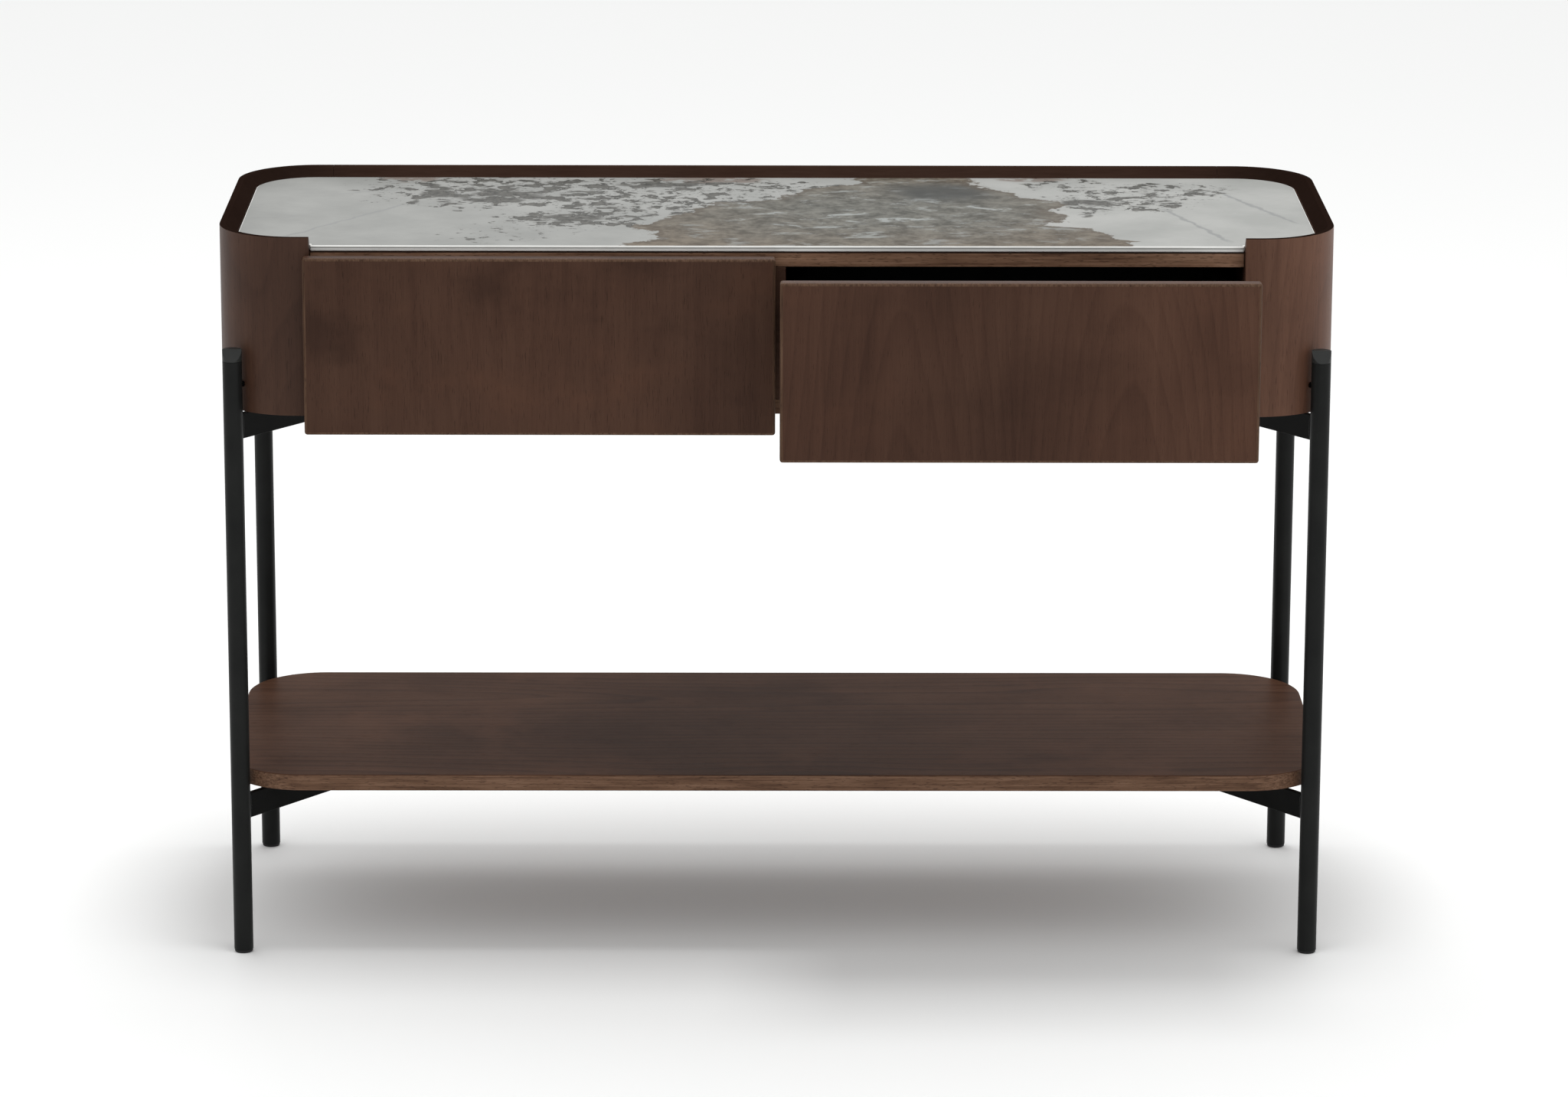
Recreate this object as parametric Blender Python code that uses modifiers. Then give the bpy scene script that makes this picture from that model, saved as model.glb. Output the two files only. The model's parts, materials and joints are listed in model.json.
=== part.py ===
"""Console table: a bent-plywood cabinet with two drawers, hung between four round steel legs, with a stone
top let into its rim and a shelf below. Metres, +Z up, -Y to the front. The origin is on the floor, in the
middle of everything the table covers with its right drawer standing open."""

import math

import bmesh
import bpy
from mathutils import Vector

# ---------------------------------------------------------------- overall sizes
LENGTH = 1.200
DEPTH = 0.420
HEIGHT = 0.800
CORNER_RADIUS = 0.085
CABINET_HEIGHT = 0.194

# ---------------------------------------------------------------- clearances
GAP = 0.0003
BOARD_PLAY = 0.0005
STONE_JOINT = 0.0015
NOSE_PLAY = 0.001

# ---------------------------------------------------------------- cabinet
SHELL_THICKNESS = 0.018
RIM_LAND = 0.0065
STONE_RECESS = 0.0105
STONE_THICKNESS = 0.006
TOP_BOARD_THICKNESS = 0.016
BOTTOM_BOARD_THICKNESS = 0.016
WING_FLAT = 0.016
EDGE_SETBACK = 0.012
PARTITION_THICKNESS = 0.016
DIVIDER_THICKNESS = 0.018

# ---------------------------------------------------------------- legs
LEG_RADIUS = 0.0105
LEG_WALL = 0.0015
LEG_GAP = 0.0039
LEG_BEARING_DEG = 46.4
LEG_OVERLAP = 0.070
CAP_SLOPE_HEIGHT = 0.0126
CAP_PLUG_LENGTH = 0.010
PLUG_PLAY = 0.0003
GLIDE_HEIGHT = 0.003
GLIDE_PLUG_LENGTH = 0.012
GLIDE_EDGE_DROP = 0.001
GLIDE_INSET = 0.0006

# ---------------------------------------------------------------- leg bolts
BOLT_RADIUS = 0.003
BOLT_HOLE_RADIUS = 0.0033
BOLT_HEAD_RADIUS = 0.0055
BOLT_HEAD_HEIGHT = 0.004
BOLT_HEIGHT_ABOVE_CABINET_FLOOR = 0.014
BOLT_REACH_IN_LEG = 0.008

# ---------------------------------------------------------------- braces and shelf
BRACE_HEIGHT = 0.028
BRACE_THICKNESS = 0.006
BRACE_APEX_FROM_END = 0.171
BRACE_PAD_NOSE = 0.012
BRACE_PAD_REACH = 0.070
BRACE_PLATE_THICKNESS = 0.0015
SHELF_BLOCK_THICKNESS = 0.008
SHELF_TOP = 0.205
SHELF_THICKNESS = 0.018

# ---------------------------------------------------------------- drawers
FRONT_THICKNESS = 0.018
FRONT_BELOW_STONE_TOP = 0.008
FRONT_DROP = 0.017
FRONT_STANDOFF = 0.001
FRONT_GAP = 0.004
FRONT_OVERLAP = 0.006
FRONT_ROUNDING = 0.003
BOX_WALL = 0.012
BOX_LIFT = 0.012
BOX_TOP_CLEARANCE = 0.023
BOX_TAIL = 0.002
BOX_FLOOR_THICKNESS = 0.006
BOX_FLOOR_RAISE = 0.008
GROOVE_DEPTH = 0.006
GROOVE_BOTTOM_PLAY = 0.0005

# ---------------------------------------------------------------- drawer slides
SLIDE_WIDTH = 0.0127
SLIDE_HEIGHT = 0.045
SLIDE_METAL = 0.0012
SLIDE_PLAY = 0.0008
SLIDE_FRONT_SETBACK = 0.004
SLIDE_BACK_CLEARANCE = 0.0295
SLIDE_RAISE = 0.035
RIGHT_DRAWER_OPEN = 0.125
MIDDLE_SHARE = 0.5

# ---------------------------------------------------------------- facets
CORNER_STEPS = 16
TUBE_STEPS = 32
BOLT_STEPS = 20

# ---------------------------------------------------------------- places worked out from the sizes
CABINET_FLOOR = HEIGHT - CABINET_HEIGHT
STONE_TOP = HEIGHT - STONE_RECESS
STONE_FLOOR = STONE_TOP - STONE_THICKNESS
TOP_BOARD_TOP = STONE_FLOOR - GAP
OPENING_TOP = TOP_BOARD_TOP - TOP_BOARD_THICKNESS
OPENING_FLOOR = CABINET_FLOOR + BOTTOM_BOARD_THICKNESS
WING_END = LENGTH / 2 - CORNER_RADIUS - WING_FLAT
INNER_FACE = DEPTH / 2 - SHELL_THICKNESS
BOARD_FRONT = -(DEPTH / 2 - EDGE_SETBACK)
BOARD_BACK = INNER_FACE - BOARD_PLAY
PARTITION_FACE = WING_END - NOSE_PLAY
LEG_REACH = CORNER_RADIUS + LEG_GAP + LEG_RADIUS
LEG_X = LENGTH / 2 - CORNER_RADIUS + LEG_REACH * math.cos(math.radians(LEG_BEARING_DEG))
LEG_Y = DEPTH / 2 - CORNER_RADIUS + LEG_REACH * math.sin(math.radians(LEG_BEARING_DEG))
LEG_TOP = CABINET_FLOOR + LEG_OVERLAP
LEG_BORE = LEG_RADIUS - LEG_WALL
TUBE_TOP = LEG_TOP - CAP_SLOPE_HEIGHT - GAP
FRONT_BACK_FACE = -(DEPTH / 2 + FRONT_STANDOFF)
FRONT_TOP = STONE_TOP - FRONT_BELOW_STONE_TOP
FRONT_FLOOR = CABINET_FLOOR - FRONT_DROP
FRONT_OUTER_END = WING_END + FRONT_OVERLAP
BAY_WIDTH = PARTITION_FACE - DIVIDER_THICKNESS / 2
BAY_CENTRE = (PARTITION_FACE + DIVIDER_THICKNESS / 2) / 2
BOX_WIDTH = BAY_WIDTH - 2 * (SLIDE_WIDTH + 2 * GAP)
BOX_FLOOR = OPENING_FLOOR + BOX_LIFT
BOX_HEIGHT = OPENING_TOP - BOX_TOP_CLEARANCE - BOX_FLOOR
BOX_FRONT_FACE = FRONT_BACK_FACE + GAP
SLIDE_FRONT = -INNER_FACE + BOARD_PLAY + SLIDE_FRONT_SETBACK
SLIDE_LENGTH = INNER_FACE - SLIDE_BACK_CLEARANCE - SLIDE_FRONT
BOX_LENGTH = SLIDE_FRONT + SLIDE_LENGTH + BOX_TAIL - BOX_FRONT_FACE
SLIDE_MIDDLE_HEIGHT = BOX_FLOOR + SLIDE_RAISE

# The open right drawer reaches further forward than the rest, so the table stands behind the origin.
FRONT_REACH = -FRONT_BACK_FACE + FRONT_THICKNESS + RIGHT_DRAWER_OPEN
TABLE_Y = (FRONT_REACH - DEPTH / 2) / 2

for leftover in list(bpy.data.objects):
    bpy.data.objects.remove(leftover, do_unlink=True)


# ---------------------------------------------------------------- scene helpers
def new_collection(name):
    collection = bpy.data.collections.new(name)
    bpy.context.scene.collection.children.link(collection)
    return collection


table_parts = new_collection("console_table")
cutters = new_collection("cutters")


def material(name, colour, roughness, metallic=0.0):
    made = bpy.data.materials.new(name)
    made.use_nodes = True
    shader = made.node_tree.nodes["Principled BSDF"]
    shader.inputs["Base Color"].default_value = (*colour, 1.0)
    shader.inputs["Roughness"].default_value = roughness
    shader.inputs["Metallic"].default_value = metallic
    return made


walnut = material("walnut", (0.065, 0.034, 0.024), 0.45)
stone = material("stone", (0.42, 0.42, 0.40), 0.35)
black_steel = material("black_steel", (0.014, 0.015, 0.014), 0.42, 0.3)
drawer_board = material("drawer_board", (0.012, 0.012, 0.012), 0.6)
zinc_steel = material("zinc_steel", (0.55, 0.56, 0.58), 0.32, 1.0)
black_nylon = material("black_nylon", (0.012, 0.012, 0.012), 0.6)


def empty(name, location, parent=None):
    made = bpy.data.objects.new(name, None)
    made.location = location
    made.parent = parent
    table_parts.objects.link(made)
    return made


table = empty("table", (0, TABLE_Y, 0))
left_drawer = empty("left_drawer", (-BAY_CENTRE, 0, 0), table)
left_middle = empty("left_middle", (-BAY_CENTRE, 0, 0), table)
right_drawer = empty("right_drawer", (BAY_CENTRE, -RIGHT_DRAWER_OPEN, 0), table)
right_middle = empty("right_middle", (BAY_CENTRE, -RIGHT_DRAWER_OPEN * MIDDLE_SHARE, 0), table)


def place(obj, parent, location=(0, 0, 0), rotation=(0, 0, 0), collection=table_parts):
    obj.parent = parent
    obj.location = location
    obj.rotation_euler = rotation
    collection.objects.link(obj)
    return obj


def mesh_object(name, bm, surface):
    bmesh.ops.recalc_face_normals(bm, faces=bm.faces)
    mesh = bpy.data.meshes.new(name)
    bm.to_mesh(mesh)
    bm.free()
    if surface:
        mesh.materials.append(surface)
    return bpy.data.objects.new(name, mesh)


def smooth(obj):
    obj.data.shade_smooth()
    obj.data.set_sharp_from_angle(angle=math.radians(30))


def box(name, low, high, surface, parent=None, rounding=0.0):
    size = Vector(high) - Vector(low)
    bm = bmesh.new()
    bmesh.ops.create_cube(bm, size=1.0)
    bmesh.ops.scale(bm, verts=bm.verts, vec=size)
    obj = place(mesh_object(name, bm, surface), parent or table, (Vector(low) + Vector(high)) / 2)
    if rounding:
        bevel = obj.modifiers.new("rounded_edges", "BEVEL")
        bevel.width = rounding
        bevel.segments = 3
    return obj


def plate(name, outline, thickness, surface, parent, location, rotation=(0, 0, 0)):
    """A flat outline in local X and Y, thickened both ways along local Z."""
    curve = bpy.data.curves.new(name, "CURVE")
    curve.dimensions = "2D"
    curve.fill_mode = "BOTH"
    curve.extrude = thickness / 2
    spline = curve.splines.new("POLY")
    spline.points.add(len(outline) - 1)
    for point, (x, y) in zip(spline.points, outline):
        point.co = (x, y, 0, 1)
    spline.use_cyclic_u = True
    curve.materials.append(surface)
    return place(bpy.data.objects.new(name, curve), parent, location, rotation)


def turned(name, profile, steps, surface, closed=False):
    """A profile of (radius, height) points, given from the top down its outer side, turned about local Z."""
    bm = bmesh.new()
    verts = [bm.verts.new((radius, 0, height)) for radius, height in profile]
    ends = zip(verts, verts[1:] + verts[:1]) if closed else zip(verts, verts[1:])
    for a, b in ends:
        bm.edges.new((a, b))
    mesh = bpy.data.meshes.new(name)
    bm.to_mesh(mesh)
    bm.free()
    if surface:
        mesh.materials.append(surface)
    obj = bpy.data.objects.new(name, mesh)
    screw = obj.modifiers.new("turn", "SCREW")
    screw.steps = steps
    screw.render_steps = steps
    screw.use_merge_vertices = True
    screw.merge_threshold = 0.00005
    screw.use_smooth_shade = True
    return obj


def cut(obj, cutter):
    cutter.hide_render = True
    cutter.display_type = "WIRE"
    boolean = obj.modifiers.new(cutter.name, "BOOLEAN")
    boolean.operation = "DIFFERENCE"
    boolean.object = cutter


def arc(centre_x, centre_y, radius, start, end):
    """Points along an arc, its ends included, between two angles in degrees."""
    points = []
    for step in range(CORNER_STEPS + 1):
        angle = math.radians(start + (end - start) * step / CORNER_STEPS)
        points.append((centre_x + radius * math.cos(angle), centre_y + radius * math.sin(angle)))
    return points


def rounded_outline(inset):
    """The cabinet's outline seen from above, moved inwards, anticlockwise from the front right corner."""
    radius = CORNER_RADIUS - inset
    x = LENGTH / 2 - CORNER_RADIUS
    y = DEPTH / 2 - CORNER_RADIUS
    outline = arc(x, -y, radius, -90, 0)
    outline += arc(x, y, radius, 0, 90)
    outline += arc(-x, y, radius, 90, 180)
    outline += arc(-x, -y, radius, 180, 270)
    return outline


def nosed_outline(inset, nose_inset):
    """As rounded_outline, with a nose that comes forward between the two wings."""
    nose = WING_END - nose_inset
    inner = -(DEPTH / 2 - inset)
    nosed = [(-nose, inner), (-nose, BOARD_FRONT), (nose, BOARD_FRONT), (nose, inner)]
    return rounded_outline(inset) + nosed


# ---------------------------------------------------------------- cabinet shell
def shell_section():
    """(distance in from the outer face, height) of the shell wall, its rim bevelled down to the stone."""
    bevel = SHELL_THICKNESS - RIM_LAND
    return [
        (0, CABINET_FLOOR),
        (SHELL_THICKNESS, CABINET_FLOOR),
        (SHELL_THICKNESS, HEIGHT - bevel),
        (RIM_LAND, HEIGHT),
        (0, HEIGHT),
    ]


def push(bm, face, vector):
    """Extrudes an end face along a straight run and returns the new end face."""
    made = bmesh.ops.extrude_face_region(bm, geom=[face, *face.edges, *face.verts])["geom"]
    bmesh.ops.translate(bm, verts=[v for v in made if isinstance(v, bmesh.types.BMVert)], vec=vector)
    return next(f for f in made if isinstance(f, bmesh.types.BMFace))


def turn(bm, face, centre, angle):
    """Spins an end face round a corner and returns the new end face."""
    made = bmesh.ops.spin(
        bm,
        geom=[face, *face.edges, *face.verts],
        cent=centre,
        axis=(0, 0, 1),
        angle=angle,
        steps=CORNER_STEPS,
    )["geom_last"]
    return next(f for f in made if isinstance(f, bmesh.types.BMFace))


def end_shell(name, side):
    """The C-shaped wall round one end: front wing, corner, side, corner and a short back wing."""
    bm = bmesh.new()
    front = [bm.verts.new((side * WING_END, -DEPTH / 2 + inset, z)) for inset, z in shell_section()]
    corner_x = side * (LENGTH / 2 - CORNER_RADIUS)
    corner_y = DEPTH / 2 - CORNER_RADIUS
    quarter = side * math.pi / 2
    end = bm.faces.new(front)
    end = push(bm, end, (corner_x - side * WING_END, 0, 0))
    end = turn(bm, end, (corner_x, -corner_y, 0), quarter)
    end = push(bm, end, (0, 2 * corner_y, 0))
    end = turn(bm, end, (corner_x, corner_y, 0), quarter)
    push(bm, end, (side * (WING_END + GAP) - corner_x, 0, 0))
    shell = place(mesh_object(name, bm, walnut), table)
    for end_name, along in (("front", -1), ("back", 1)):
        hole = bolt_hole_cutter(f"{name}_{end_name}_bolt_hole", side, along)
        cut(shell, hole)
    smooth(shell)
    return shell


def back_panel():
    bm = bmesh.new()
    section = [bm.verts.new((-WING_END, DEPTH / 2 - inset, z)) for inset, z in shell_section()]
    push(bm, bm.faces.new(section), (2 * WING_END, 0, 0))
    place(mesh_object("back_panel", bm, walnut), table)


# ---------------------------------------------------------------- leg bolts
def corner_centre(side, along):
    return Vector((side * (LENGTH / 2 - CORNER_RADIUS), along * (DEPTH / 2 - CORNER_RADIUS), 0))


def bolt_direction(side, along):
    """The level direction from a corner's centre out to its leg."""
    return (Vector((side * LEG_X, along * LEG_Y, 0)) - corner_centre(side, along)).normalized()


def bolt_start(side, along):
    """Where the bolt's head bears on the inside of the shell."""
    reach = CORNER_RADIUS - SHELL_THICKNESS - GAP
    inside = corner_centre(side, along) + bolt_direction(side, along) * reach
    height = CABINET_FLOOR + BOTTOM_BOARD_THICKNESS + BOLT_HEIGHT_ABOVE_CABINET_FLOOR
    return inside + Vector((0, 0, height))


def level_rotation(direction):
    """Turns local +Z to a level direction."""
    return (math.pi / 2, 0, math.atan2(direction.y, direction.x) + math.pi / 2)


def bolt_hole_cutter(name, side, along):
    direction = bolt_direction(side, along)
    length = 2 * (SHELL_THICKNESS + LEG_RADIUS)
    bm = bmesh.new()
    bmesh.ops.create_cone(
        bm,
        cap_ends=True,
        segments=BOLT_STEPS,
        radius1=BOLT_HOLE_RADIUS,
        radius2=BOLT_HOLE_RADIUS,
        depth=length,
    )
    middle = bolt_start(side, along) + direction * (bolt_length(side, along) - length / 2)
    return place(mesh_object(name, bm, None), table, middle, level_rotation(direction), cutters)


def bolt_length(side, along):
    """From the bearing face of the head into the leg's bore."""
    to_leg = Vector((side * LEG_X, along * LEG_Y, 0)) - corner_centre(side, along)
    near_wall = to_leg.length - LEG_RADIUS
    return near_wall - (CORNER_RADIUS - SHELL_THICKNESS - GAP) + BOLT_REACH_IN_LEG


def leg_bolt(name, side, along):
    length = bolt_length(side, along)
    profile = [
        (0, length),
        (BOLT_RADIUS, length),
        (BOLT_RADIUS, 0),
        (BOLT_HEAD_RADIUS, 0),
        (BOLT_HEAD_RADIUS, -BOLT_HEAD_HEIGHT),
        (0, -BOLT_HEAD_HEIGHT),
    ]
    bolt = turned(name, profile, BOLT_STEPS, zinc_steel)
    place(bolt, table, bolt_start(side, along), level_rotation(bolt_direction(side, along)))


# ---------------------------------------------------------------- legs
def leg(name, side, along):
    place_xy = (side * LEG_X, along * LEG_Y)
    tube_profile = [
        (LEG_RADIUS, TUBE_TOP),
        (LEG_RADIUS, GLIDE_HEIGHT + GAP),
        (LEG_BORE, GLIDE_HEIGHT + GAP),
        (LEG_BORE, TUBE_TOP),
    ]
    tube = turned(name, tube_profile, TUBE_STEPS, black_steel, closed=True)
    place(tube, table, (*place_xy, 0))
    cut(tube, bolt_hole_cutter(f"{name}_bolt_hole", side, along))


def leg_cap(name, side, along):
    """A plug whose head is as wide as the tube, its outer half sloping away from the cabinet."""
    plug = LEG_BORE - PLUG_PLAY
    seat = TUBE_TOP + GAP
    profile = [(0, LEG_TOP), (LEG_RADIUS, LEG_TOP), (LEG_RADIUS, seat), (plug, seat)]
    profile += [(plug, seat - CAP_PLUG_LENGTH), (0, seat - CAP_PLUG_LENGTH)]
    cap = turned(name, profile, TUBE_STEPS, black_steel)
    place(cap, table, (side * LEG_X, along * LEG_Y, 0))
    slope = math.atan2(CAP_SLOPE_HEIGHT, LEG_RADIUS)
    size = 4 * LEG_RADIUS
    bm = bmesh.new()
    bmesh.ops.create_cube(bm, size=size)
    bmesh.ops.translate(bm, verts=bm.verts, vec=(0, 0, size / 2))
    wedge = mesh_object(f"{name}_slope", bm, None)
    top_line = (side * LEG_X, along * LEG_Y, LEG_TOP)
    place(wedge, table, top_line, (-along * slope, 0, 0), cutters)
    cut(cap, wedge)


def glide(name, side, along):
    outer = LEG_RADIUS - GLIDE_INSET
    plug = LEG_BORE - PLUG_PLAY
    top = GLIDE_HEIGHT + GLIDE_PLUG_LENGTH
    profile = [(0, top), (plug, top), (plug, GLIDE_HEIGHT), (outer, GLIDE_HEIGHT)]
    profile += [(outer, GLIDE_EDGE_DROP), (outer - GLIDE_EDGE_DROP, 0), (0, 0)]
    place(turned(name, profile, TUBE_STEPS, black_nylon), table, (side * LEG_X, along * LEG_Y, 0))


# ---------------------------------------------------------------- braces
def brace_line(side):
    """The apex of a brace's V and the unit vector from its front leg to the apex, in plan."""
    apex = Vector((side * (LENGTH / 2 - BRACE_APEX_FROM_END), 0))
    return apex, (apex - Vector((side * LEG_X, -LEG_Y))).normalized()


def brace(name, side, top):
    """A flat bar on edge, folded into a V whose ends stop just short of the two legs on one end."""
    apex, direction = brace_line(side)
    start = Vector((side * LEG_X, -LEG_Y)) + direction * (LEG_RADIUS + GAP)
    across = Vector((-direction.y, direction.x)) * BRACE_THICKNESS / 2
    fold = BRACE_THICKNESS / 2 / direction.y
    lower, higher = start + across, start - across
    outline = [
        (higher.x, higher.y),
        (lower.x, lower.y),
        (apex.x - fold, 0),
        (lower.x, -lower.y),
        (higher.x, -higher.y),
        (apex.x + fold, 0),
    ]
    plate(name, outline, BRACE_HEIGHT, black_steel, table, (0, 0, top - BRACE_HEIGHT / 2))


def brace_pad(name, side, thickness, surface, board_underside):
    """What lies on a brace round its fold and takes the screws into the board above."""
    apex, direction = brace_line(side)
    spread = abs(direction.y / direction.x)
    near = apex.x - side * BRACE_PAD_NOSE
    far = apex.x + side * BRACE_PAD_REACH
    near_half = BRACE_PAD_NOSE
    far_half = near_half + (BRACE_PAD_REACH + BRACE_PAD_NOSE) * spread
    outline = [(near, -near_half), (far, -far_half), (far, far_half), (near, near_half)]
    plate(name, outline, thickness, surface, table, (0, 0, board_underside - GAP - thickness / 2))


# ---------------------------------------------------------------- drawers
def grooved_board(name, length, parent, location, turn_z):
    """A drawer wall on edge. Its groove for the drawer floor faces local +X before turn_z."""
    low = BOX_FLOOR_RAISE
    high = low + BOX_FLOOR_THICKNESS + 2 * GAP
    bottom = BOX_WALL - GROOVE_DEPTH
    outline = [
        (0, 0),
        (BOX_WALL, 0),
        (BOX_WALL, low),
        (bottom, low),
        (bottom, high),
        (BOX_WALL, high),
        (BOX_WALL, BOX_HEIGHT),
        (0, BOX_HEIGHT),
    ]
    plate(name, outline, length, drawer_board, parent, location, (math.pi / 2, 0, turn_z))


def drawer(prefix, side, parent):
    """Every piece is placed from the middle of the drawer's bay."""
    inner_end = FRONT_GAP / 2 - BAY_CENTRE
    outer_end = FRONT_OUTER_END - BAY_CENTRE
    ends = sorted((side * inner_end, side * outer_end))
    low = (ends[0], FRONT_BACK_FACE - FRONT_THICKNESS, FRONT_FLOOR)
    high = (ends[1], FRONT_BACK_FACE, FRONT_TOP)
    box(f"{prefix}_drawer_front", low, high, walnut, parent, FRONT_ROUNDING)
    half = BOX_WIDTH / 2
    back_face = BOX_FRONT_FACE + BOX_LENGTH
    middle = (BOX_FRONT_FACE + back_face) / 2
    end_length = BOX_WIDTH - 2 * (BOX_WALL + GAP)
    grooved_board(f"{prefix}_drawer_left_side", BOX_LENGTH, parent, (-half, middle, BOX_FLOOR), 0)
    grooved_board(f"{prefix}_drawer_right_side", BOX_LENGTH, parent, (half, middle, BOX_FLOOR), math.pi)
    front_place = (0, BOX_FRONT_FACE, BOX_FLOOR)
    grooved_board(f"{prefix}_drawer_box_front", end_length, parent, front_place, math.pi / 2)
    back_place = (0, back_face, BOX_FLOOR)
    grooved_board(f"{prefix}_drawer_box_back", end_length, parent, back_place, -math.pi / 2)
    edge = BOX_WALL - GROOVE_DEPTH + GROOVE_BOTTOM_PLAY
    floor_low = (-half + edge, BOX_FRONT_FACE + edge, BOX_FLOOR + BOX_FLOOR_RAISE + GAP)
    floor_high = (half - edge, back_face - edge, floor_low[2] + BOX_FLOOR_THICKNESS)
    box(f"{prefix}_drawer_floor", floor_low, floor_high, drawer_board, parent)


# ---------------------------------------------------------------- drawer slides
def channel(near, far, half_height):
    """A C section open towards near: its web is at far, and its lips run back to near."""
    web = far - SLIDE_METAL if far > near else far + SLIDE_METAL
    lip = half_height - SLIDE_METAL
    return [
        (near, -half_height),
        (far, -half_height),
        (far, half_height),
        (near, half_height),
        (near, lip),
        (web, lip),
        (web, -lip),
        (near, -lip),
    ]


def slide_sections():
    """Sections of the three members, nested with running play. X runs from the cabinet's wall."""
    cabinet_half = SLIDE_HEIGHT / 2
    middle_half = cabinet_half - SLIDE_METAL - SLIDE_PLAY
    drawer_half = middle_half - SLIDE_METAL - SLIDE_PLAY
    cabinet_lip = SLIDE_WIDTH - SLIDE_METAL - SLIDE_PLAY
    middle_low = SLIDE_METAL + SLIDE_PLAY
    web_low = (SLIDE_WIDTH - SLIDE_METAL) / 2
    web_high = web_low + SLIDE_METAL
    lip = middle_half - SLIDE_METAL
    cabinet = channel(cabinet_lip, 0, cabinet_half)
    middle = [
        (middle_low, -middle_half),
        (cabinet_lip, -middle_half),
        (cabinet_lip, -lip),
        (web_high, -lip),
        (web_high, lip),
        (cabinet_lip, lip),
        (cabinet_lip, middle_half),
        (middle_low, middle_half),
        (middle_low, lip),
        (web_low, lip),
        (web_low, -lip),
        (middle_low, -lip),
    ]
    drawer_member = channel(web_high + SLIDE_PLAY, SLIDE_WIDTH, drawer_half)
    return cabinet, middle, drawer_member


def slide(prefix, bay_side, hand, drawer_empty, middle_empty):
    """The three members on one side of a bay. hand is -1 on the bay's left wall and 1 on its right."""
    wall = hand * BAY_WIDTH / 2
    middle_y = SLIDE_FRONT + SLIDE_LENGTH / 2
    owners = (("cabinet", table), ("middle", middle_empty), ("drawer", drawer_empty))
    for (owner, parent), section in zip(owners, slide_sections()):
        start = wall - hand * GAP
        if owner == "cabinet":
            start += bay_side * BAY_CENTRE
        outline = [(-hand * x, z) for x, z in section]
        location = (start, middle_y, SLIDE_MIDDLE_HEIGHT)
        name = f"{prefix}_slide_{owner}_member"
        plate(name, outline, SLIDE_LENGTH, zinc_steel, parent, location, (math.pi / 2, 0, 0))


# ---------------------------------------------------------------- assembly
def cabinet():
    end_shell("left_end_shell", -1)
    end_shell("right_end_shell", 1)
    back_panel()
    board_inset = SHELL_THICKNESS + BOARD_PLAY
    board = nosed_outline(board_inset, NOSE_PLAY)
    top_middle = TOP_BOARD_TOP - TOP_BOARD_THICKNESS / 2
    floor_middle = CABINET_FLOOR + BOTTOM_BOARD_THICKNESS / 2
    plate("top_board", board, TOP_BOARD_THICKNESS, walnut, table, (0, 0, top_middle))
    plate("bottom_board", board, BOTTOM_BOARD_THICKNESS, walnut, table, (0, 0, floor_middle))
    slab = nosed_outline(SHELL_THICKNESS + STONE_JOINT, NOSE_PLAY)
    stone_middle = STONE_FLOOR + STONE_THICKNESS / 2
    plate("stone_top", slab, STONE_THICKNESS, stone, table, (0, 0, stone_middle))
    low_z = OPENING_FLOOR + GAP
    high_z = OPENING_TOP - GAP
    half = DIVIDER_THICKNESS / 2
    box("centre_divider", (-half, BOARD_FRONT, low_z), (half, BOARD_BACK, high_z), walnut)
    behind_wing = -BOARD_BACK
    for name, side in (("left_partition", -1), ("right_partition", 1)):
        faces = sorted((side * PARTITION_FACE, side * (PARTITION_FACE + PARTITION_THICKNESS)))
        box(name, (faces[0], behind_wing, low_z), (faces[1], BOARD_BACK, high_z), walnut)


def frame():
    corners = (("front_left", -1, -1), ("front_right", 1, -1), ("back_left", -1, 1), ("back_right", 1, 1))
    for corner, side, along in corners:
        leg(f"{corner}_leg", side, along)
        leg_cap(f"{corner}_leg_cap", side, along)
        glide(f"{corner}_glide", side, along)
        leg_bolt(f"{corner}_leg_bolt", side, along)
    shelf_underside = SHELF_TOP - SHELF_THICKNESS
    for end, side in (("left", -1), ("right", 1)):
        brace(f"{end}_upper_brace", side, CABINET_FLOOR - BRACE_PLATE_THICKNESS - 2 * GAP)
        brace(f"{end}_lower_brace", side, shelf_underside - SHELF_BLOCK_THICKNESS - 2 * GAP)
        brace_pad(f"{end}_brace_plate", side, BRACE_PLATE_THICKNESS, black_steel, CABINET_FLOOR)
        brace_pad(f"{end}_shelf_block", side, SHELF_BLOCK_THICKNESS, black_nylon, shelf_underside)
    shelf_middle = SHELF_TOP - SHELF_THICKNESS / 2
    plate("shelf", rounded_outline(0), SHELF_THICKNESS, walnut, table, (0, 0, shelf_middle))


def drawers():
    bays = (("left", -1, left_drawer, left_middle), ("right", 1, right_drawer, right_middle))
    for prefix, side, drawer_empty, middle_empty in bays:
        drawer(prefix, side, drawer_empty)
        slide(f"{prefix}_drawer_left", side, -1, drawer_empty, middle_empty)
        slide(f"{prefix}_drawer_right", side, 1, drawer_empty, middle_empty)


cabinet()
frame()
drawers()
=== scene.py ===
"""Looks of the console table: walnut veneer, clouded stone, black steel and charcoal drawers."""

import json
import math

import bmesh
import bpy
from mathutils import Matrix, Vector


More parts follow.
